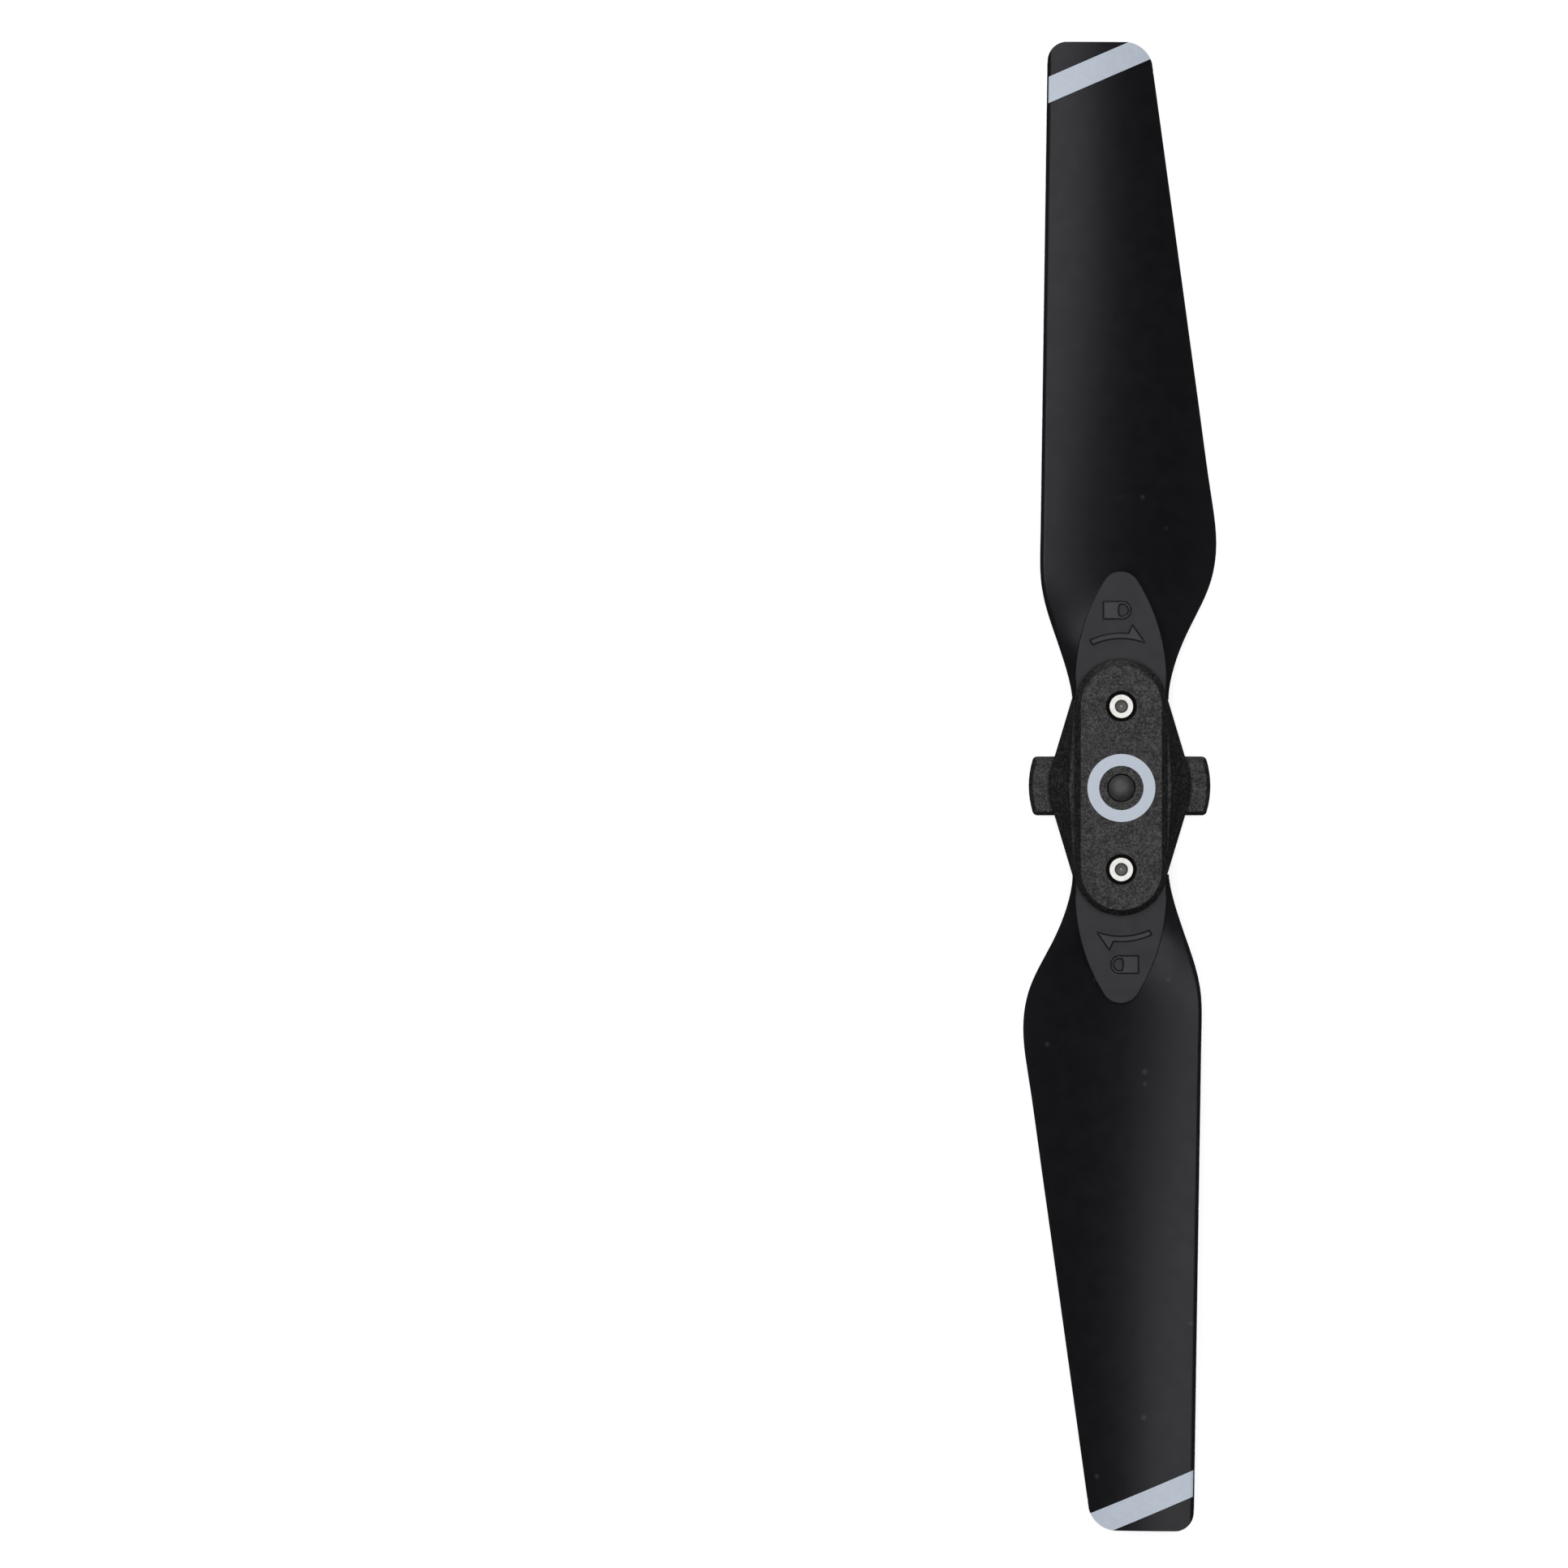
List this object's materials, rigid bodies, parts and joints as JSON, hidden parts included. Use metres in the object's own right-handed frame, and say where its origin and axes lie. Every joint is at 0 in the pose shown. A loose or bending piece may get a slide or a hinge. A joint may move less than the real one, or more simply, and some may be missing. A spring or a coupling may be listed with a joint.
{
  "type": "folding propeller",
  "caption": "Folding quick-release drone propeller: twisted blades hinged on rivets between two hub plates, with bayonet lugs under the hub.",
  "frame": {"origin": "where the rotation axis meets the rest face under the hub", "axes": "+Z along the rotation axis, up through the hub's top plate; +Y along the first blade at rest; +X towards that blade's trailing edge"},
  "size_m": [0.0156, 0.1194, 0.0077],
  "materials": {
    "hub_plastic": "matte, glass-filled",
    "blade_plastic": "satin",
    "pin_plastic": "satin",
    "rivet_steel": "bright",
    "print_white": "printed"
  },
  "bodies": {
    "hub": {"lower_hub": "hub_plastic", "upper_hub": "hub_plastic", "rivet_a": "rivet_steel", "rivet_b": "rivet_steel", "centre_pin": "pin_plastic", "ring_mark": "print_white"},
    "blade_a": {"blade_a": "blade_plastic", "tip_band_a": "print_white"},
    "blade_b": {"blade_b": "blade_plastic", "tip_band_b": "print_white"}
  },
  "joints": [
    {"name": "blade_a_fold", "type": "hinge", "parent": "hub", "child": "blade_a", "pos_m": [0, 0.00653, 0.00476], "axis": [0, 0, 1], "range_deg": [-90, 90]},
    {"name": "blade_b_fold", "type": "hinge", "parent": "hub", "child": "blade_b", "pos_m": [0, -0.00653, 0.00476], "axis": [0, 0, 1], "range_deg": [-90, 90]}
  ]
}
